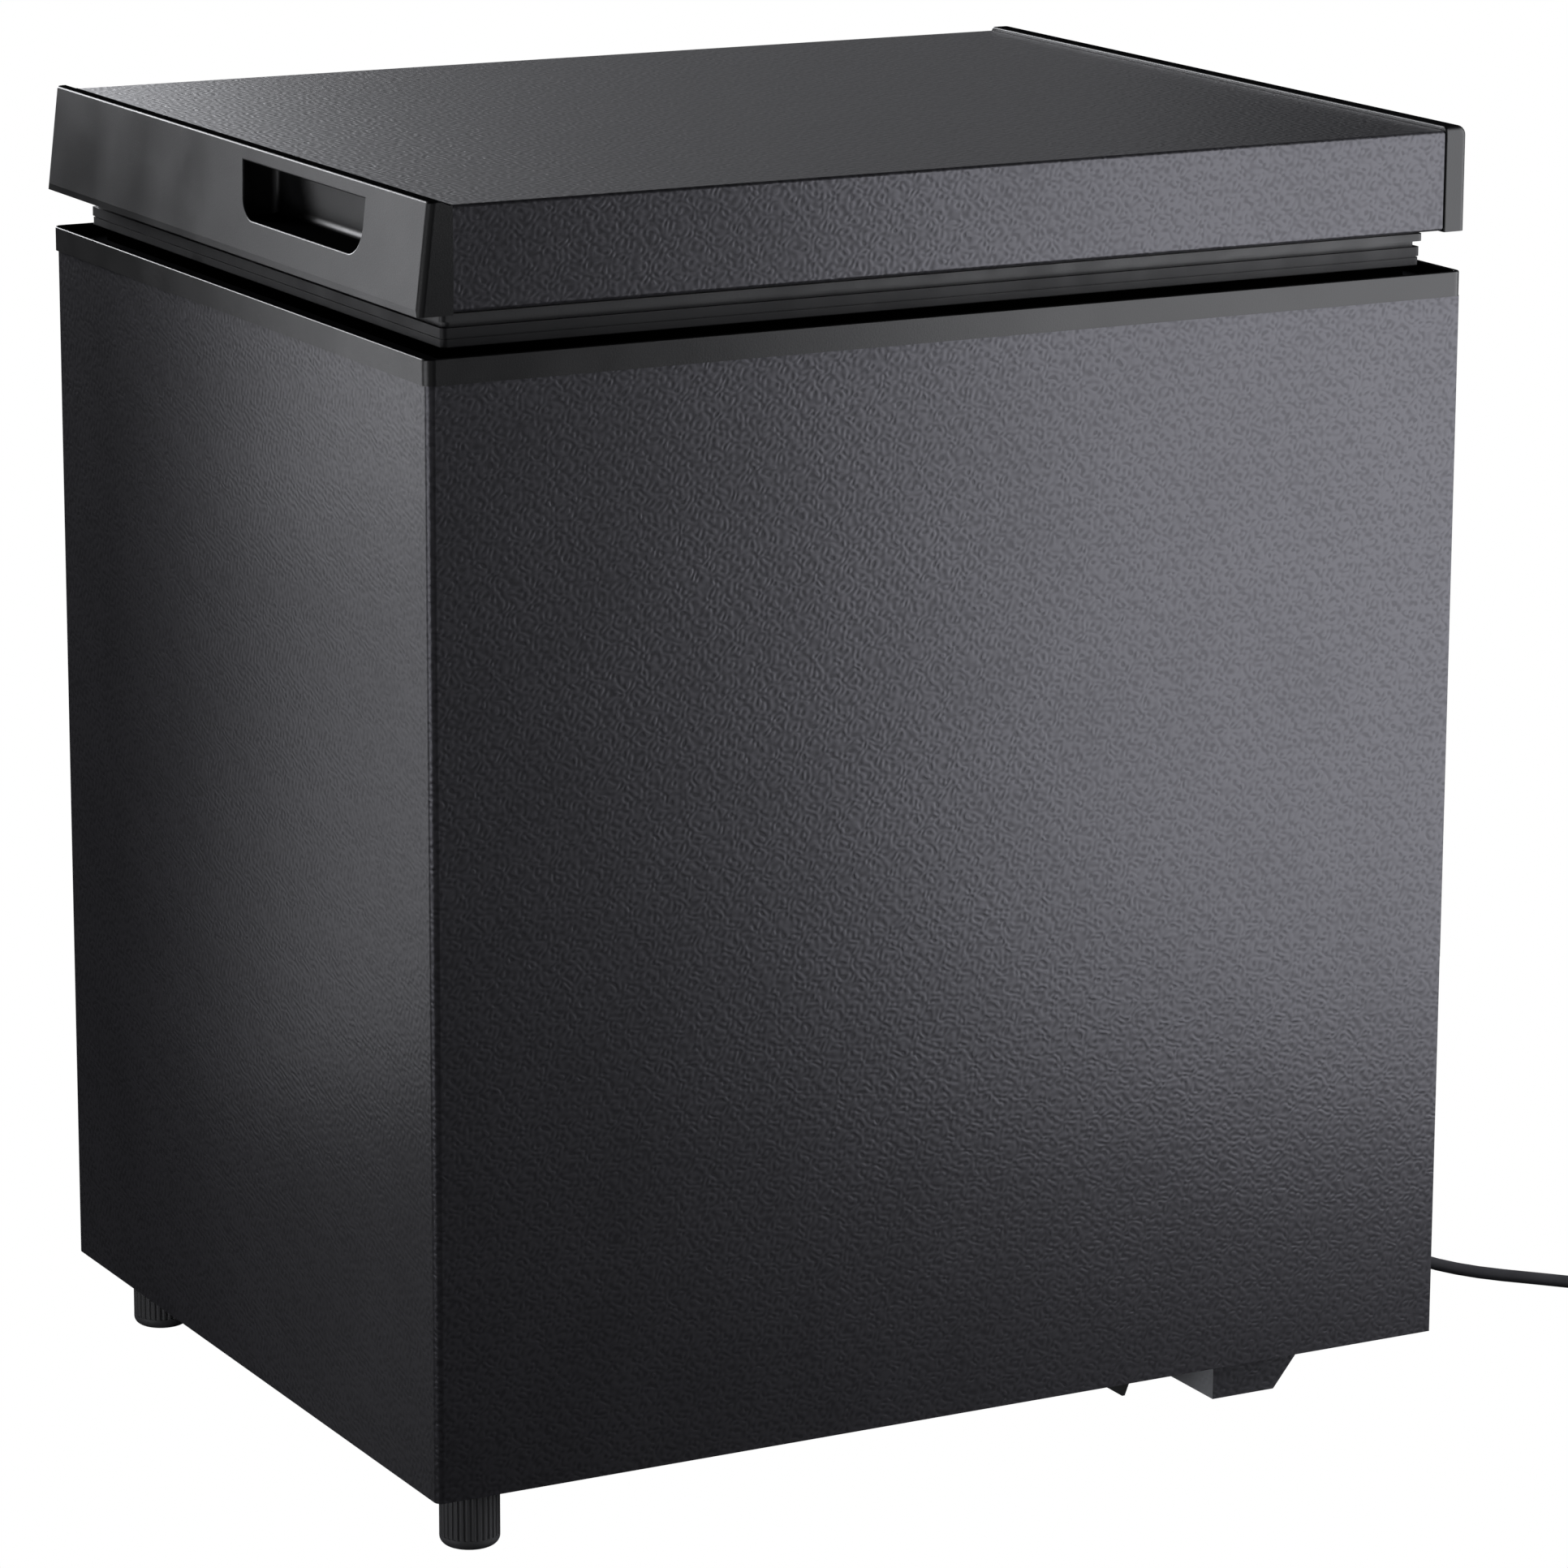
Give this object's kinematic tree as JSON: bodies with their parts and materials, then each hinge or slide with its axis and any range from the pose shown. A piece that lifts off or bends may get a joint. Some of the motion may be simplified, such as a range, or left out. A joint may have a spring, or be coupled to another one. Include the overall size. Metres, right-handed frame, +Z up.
{
  "type": "compact chest freezer",
  "caption": "Small top-opening chest freezer with a hinged insulated lid, finger slot, bellows seal, levelling feet and rear compressor.",
  "frame": {"origin": "on the floor under the middle of the freezer's overall size, measured without the mains cord", "axes": "+Z up; -X is the front with the finger slot and the levelling feet, +X the rear with the hinges, compressor and cord; -Y is the long side seen with the front on its left"},
  "size_m": [0.8189, 0.4184, 0.6065],
  "materials": {
    "textured_steel": "satin",
    "frame_plastic": "satin",
    "cap_plastic": "satin",
    "liner_plastic": "satin",
    "foam": "matte",
    "seal_rubber": "matte",
    "zinc_steel": "satin",
    "black_steel": "satin",
    "grey_steel": "satin",
    "foot_plastic": "matte",
    "black_plastic": "matte",
    "copper": "satin",
    "aluminium": "satin",
    "grommet_rubber": "matte",
    "cord_rubber": "satin",
    "plug_plastic": "matte",
    "pin_metal": "polished",
    "dial_plastic": "satin"
  },
  "bodies": {
    "cabinet": {"cabinet_wrapper": "textured_steel", "rear_panel": "grey_steel", "bottom_panel": "zinc_steel", "compressor_base_plate": "zinc_steel", "rear_foot_rail": "black_steel", "inner_liner": "liner_plastic", "cabinet_foam": "foam", "collar_frame": "frame_plastic", "breaker_strip": "frame_plastic", "seal_strip": "black_steel", "evaporator_tube": "aluminium", "condenser_tube": "copper", "compressor_shell": "black_steel", "compressor_bracket": "black_steel", "rubber_grommets": "grommet_rubber", "compressor_bolts": "zinc_steel", "terminal_cover": "black_plastic", "suction_tube": "copper", "discharge_tube": "copper", "process_tube": "copper", "filter_drier": "copper", "condenser_return_tube": "copper", "capillary_tube": "copper", "foot_nuts": "zinc_steel", "near_hinge_cabinet_leaf": "zinc_steel", "near_hinge_pin": "zinc_steel", "far_hinge_cabinet_leaf": "zinc_steel", "far_hinge_pin": "zinc_steel", "cabinet_hinge_screws": "zinc_steel", "thermostat_housing": "liner_plastic", "cord_strain_relief": "black_plastic", "power_cord": "cord_rubber", "cord_coil": "cord_rubber", "plug_lead": "cord_rubber", "plug_body": "plug_plastic", "plug_pins": "pin_metal"},
    "lid": {"lid_skin": "textured_steel", "lid_front_cap": "cap_plastic", "lid_rear_cap": "cap_plastic", "lid_liner": "liner_plastic", "lid_foam": "foam", "lid_gasket": "seal_rubber", "near_hinge_lid_leaf": "zinc_steel", "far_hinge_lid_leaf": "zinc_steel", "lid_hinge_screws": "zinc_steel"},
    "near_foot": {"near_foot_knob": "foot_plastic", "near_foot_stud": "zinc_steel"},
    "far_foot": {"far_foot_knob": "foot_plastic", "far_foot_stud": "zinc_steel"},
    "dial": {"thermostat_knob": "dial_plastic"}
  },
  "joints": [
    {"name": "lid_hinge", "type": "hinge", "parent": "cabinet", "child": "lid", "pos_m": [0.266, 0, 0.549], "axis": [0, 1, 0], "range_deg": [0, 88]},
    {"name": "near_foot_screw", "type": "slide", "parent": "cabinet", "child": "near_foot", "axis": [0, 0, -1], "range_m": [0, 0.012]},
    {"name": "far_foot_screw", "type": "slide", "parent": "cabinet", "child": "far_foot", "axis": [0, 0, -1], "range_m": [0, 0.012]},
    {"name": "thermostat_turn", "type": "hinge", "parent": "cabinet", "child": "dial", "pos_m": [0.1752, 0.09, 0.44], "axis": [1, 0, 0], "range_deg": [0, 270]}
  ]
}
